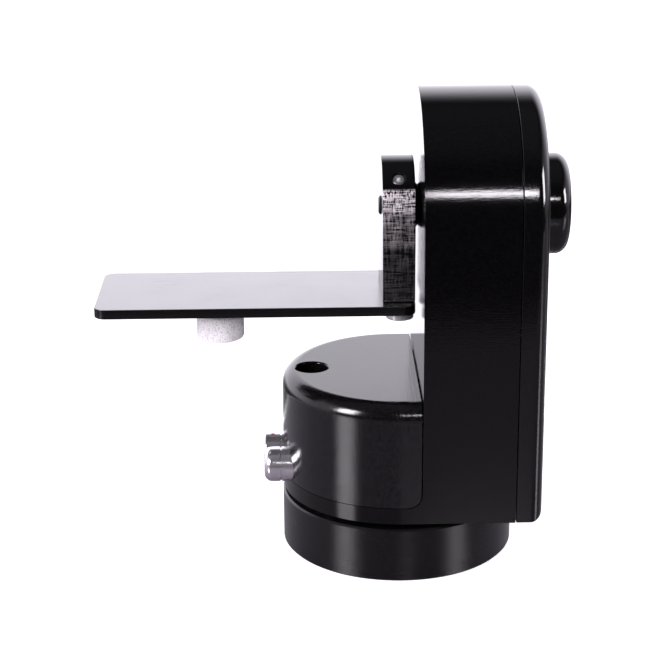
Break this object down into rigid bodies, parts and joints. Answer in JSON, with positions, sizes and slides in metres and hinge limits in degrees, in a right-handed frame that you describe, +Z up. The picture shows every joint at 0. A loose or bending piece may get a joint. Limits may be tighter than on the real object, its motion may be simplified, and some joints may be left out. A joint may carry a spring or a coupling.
{
  "type": "motorized pan tilt head",
  "caption": "Motor driven head for a small camera: round base, turning L frame with a tall tower, and a tilting arm that carries a long camera plate.",
  "frame": {"origin": "middle of the part's reach in X and Y, on the surface that the base stands on; the pan axis stands at X = 22.5 mm, Y = 0", "axes": "+Z up along the pan axis, +X from the camera plate's free end towards the tower and along the tilt axis, +Y away from the side that the picture shows"},
  "size_m": [0.1582, 0.08, 0.16],
  "materials": {
    "black_anodised": "machined aluminium, bead blasted lightly and anodised black, satin",
    "stainless_steel": "turned stainless steel, smooth",
    "chrome_steel": "ground bearing steel, polished",
    "chrome_plate": "turned brass, chrome plated",
    "bronze": "machined bronze, satin",
    "motor_can": "drawn steel can, plain",
    "black_polymer": "moulded bearing polymer, matte",
    "board": "glass fibre circuit board, green mask",
    "chip": "moulded chip package",
    "friction_pad": "pressed friction fibre"
  },
  "bodies": {
    "base": {"base": "black_anodised", "tripod_insert": "stainless_steel", "pan_hub": "stainless_steel", "hub_screw_1": "stainless_steel", "hub_screw_2": "stainless_steel", "hub_screw_3": "stainless_steel", "pan_bearing_inner_ring": "chrome_steel", "pan_wheel_spacer": "stainless_steel", "pan_worm_wheel": "bronze", "hub_nut": "stainless_steel"},
    "pan_head": {"l_frame": "black_anodised", "pan_cover": "black_anodised", "pan_cover_screw_1": "stainless_steel", "pan_cover_screw_2": "stainless_steel", "pan_cover_screw_3": "stainless_steel", "tower_cover": "black_anodised", "tower_cover_screw_1": "stainless_steel", "tower_cover_screw_2": "stainless_steel", "tower_cover_screw_3": "stainless_steel", "tower_cover_screw_4": "stainless_steel", "pan_bearing_outer_ring": "chrome_steel", "pan_bearing_balls": "chrome_steel", "bearing_retainer": "stainless_steel", "inner_bush": "black_polymer", "outer_bush": "black_polymer", "driver_board": "board", "driver_chip": "chip", "rear_socket": "chrome_plate", "front_socket": "chrome_plate", "socket_nut_1": "stainless_steel", "socket_nut_2": "stainless_steel", "socket_insert_1": "black_polymer", "socket_insert_2": "black_polymer", "tilt_motor": "motor_can", "tilt_motor_bracket": "stainless_steel", "tilt_worm_bracket": "stainless_steel", "tilt_worm_bush": "bronze", "pan_motor": "motor_can", "pan_motor_bracket": "stainless_steel", "pan_worm_bracket": "stainless_steel", "pan_worm_bush": "bronze"},
    "pan_drive": {"pan_motor_shaft": "stainless_steel", "pan_worm": "stainless_steel"},
    "tilt_drive": {"tilt_motor_shaft": "stainless_steel", "tilt_worm": "stainless_steel"},
    "tilt_head": {"tilt_shaft": "stainless_steel", "tilt_arm": "black_anodised", "arm_set_screw": "stainless_steel", "camera_plate": "black_anodised", "plate_screw_1": "stainless_steel", "plate_screw_2": "stainless_steel", "shaft_collar": "stainless_steel", "friction_washer_inner": "friction_pad", "tilt_worm_wheel": "bronze", "friction_washer_outer": "friction_pad", "clutch_tube": "stainless_steel"},
    "clutch_knob": {"tilt_knob": "black_anodised"},
    "camera_washer": {"captive_washer": "black_polymer"},
    "camera_screw": {"camera_screw": "stainless_steel"}
  },
  "joints": [
    {"name": "pan", "type": "hinge", "parent": "base", "child": "pan_head", "pos_m": [0.0225, 0, 0], "axis": [0, 0, 1], "continuous": true},
    {"name": "tilt", "type": "hinge", "parent": "pan_head", "child": "tilt_head", "pos_m": [0, 0, 0.1202], "axis": [1, 0, 0], "range_deg": [-90, 90]},
    {"name": "pan_worm_turn", "type": "hinge", "parent": "pan_head", "child": "pan_drive", "pos_m": [0.0225, 0.025, 0.037], "axis": [1, 0, 0], "continuous": true},
    {"name": "tilt_worm_turn", "type": "hinge", "parent": "pan_head", "child": "tilt_drive", "pos_m": [0.0461, 0.025, 0.1202], "axis": [0, 0, 1], "range_deg": [-3660, 3660]},
    {"name": "clutch_knob_turn", "type": "hinge", "parent": "tilt_head", "child": "clutch_knob", "pos_m": [0.07, 0, 0.1202], "axis": [1, 0, 0], "range_deg": [0, 90]},
    {"name": "camera_screw_lift", "type": "slide", "parent": "tilt_head", "child": "camera_washer", "axis": [0, 0, 1], "range_m": [0, 0.0035]},
    {"name": "camera_screw_turn", "type": "hinge", "parent": "camera_washer", "child": "camera_screw", "pos_m": [-0.0382, 0, 0.078], "axis": [0, 0, 1], "range_deg": [0, 1000]}
  ],
  "couplings": [
    {"joint": "pan_worm_turn", "follows": "pan", "ratio": -40},
    {"joint": "tilt_worm_turn", "follows": "tilt", "ratio": -40},
    {"joint": "camera_screw_turn", "follows": "camera_screw_lift", "rad_per_m": 4947.4}
  ]
}
